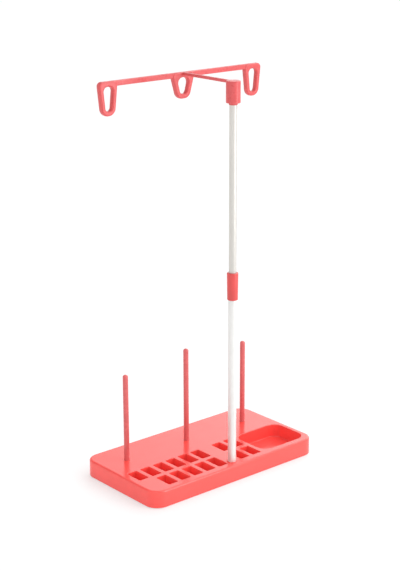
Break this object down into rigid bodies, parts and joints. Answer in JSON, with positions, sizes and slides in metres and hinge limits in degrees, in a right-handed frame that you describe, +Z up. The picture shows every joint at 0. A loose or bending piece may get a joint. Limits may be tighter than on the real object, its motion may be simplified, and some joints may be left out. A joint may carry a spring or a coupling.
{
  "type": "thread rack",
  "caption": "Free-standing thread rack: tray base with bobbin slots and spool pins, telescopic mast with twist lock, swivelling crossbar with thread loops.",
  "frame": {"origin": "on the table under the middle of the base", "axes": "+X along the base towards the tray, +Y from the mast side to the spool pin side, +Z up"},
  "size_m": [0.25, 0.134, 0.4672],
  "materials": {
    "base_plastic": "moulded, semi-gloss coral red",
    "pin_plastic": "moulded, semi-gloss deep coral",
    "collar_plastic": "moulded, semi-gloss coral red",
    "guide_plastic": "moulded, satin coral red",
    "inner_plastic": "moulded, matt",
    "tube_metal": "satin anodised, pale silver",
    "screw_steel": "zinc plated",
    "foot_rubber": "matt"
  },
  "bodies": {
    "base": {"base_shell": "base_plastic", "base_cover": "inner_plastic", "cover_screws": "screw_steel", "foot_front_left": "foot_rubber", "foot_front_right": "foot_rubber", "foot_back_left": "foot_rubber", "foot_back_right": "foot_rubber", "spool_pin_left": "pin_plastic", "spool_pin_middle": "pin_plastic", "spool_pin_right": "pin_plastic", "pin_screws": "screw_steel", "lower_tube": "tube_metal", "lower_tube_plug": "screw_steel", "mast_screw": "screw_steel", "mast_washer": "screw_steel", "clamp_collet": "inner_plastic"},
    "collar": {"lock_collar": "collar_plastic"},
    "mast": {"upper_tube": "tube_metal", "upper_tube_plug": "inner_plastic", "head_bush": "guide_plastic"},
    "guide": {"guide_head_arm": "guide_plastic", "guide_crossbar": "guide_plastic"}
  },
  "joints": [
    {"name": "collar_twist", "type": "hinge", "parent": "base", "child": "collar", "pos_m": [0, -0.055, 0.235], "axis": [0, 0, 1], "range_deg": [0, 90]},
    {"name": "mast_slide", "type": "slide", "parent": "base", "child": "mast", "axis": [0, 0, 1], "range_m": [-0.18, 0]},
    {"name": "guide_swivel", "type": "hinge", "parent": "mast", "child": "guide", "pos_m": [0, -0.055, 0.455], "axis": [0, 0, 1], "continuous": true}
  ]
}
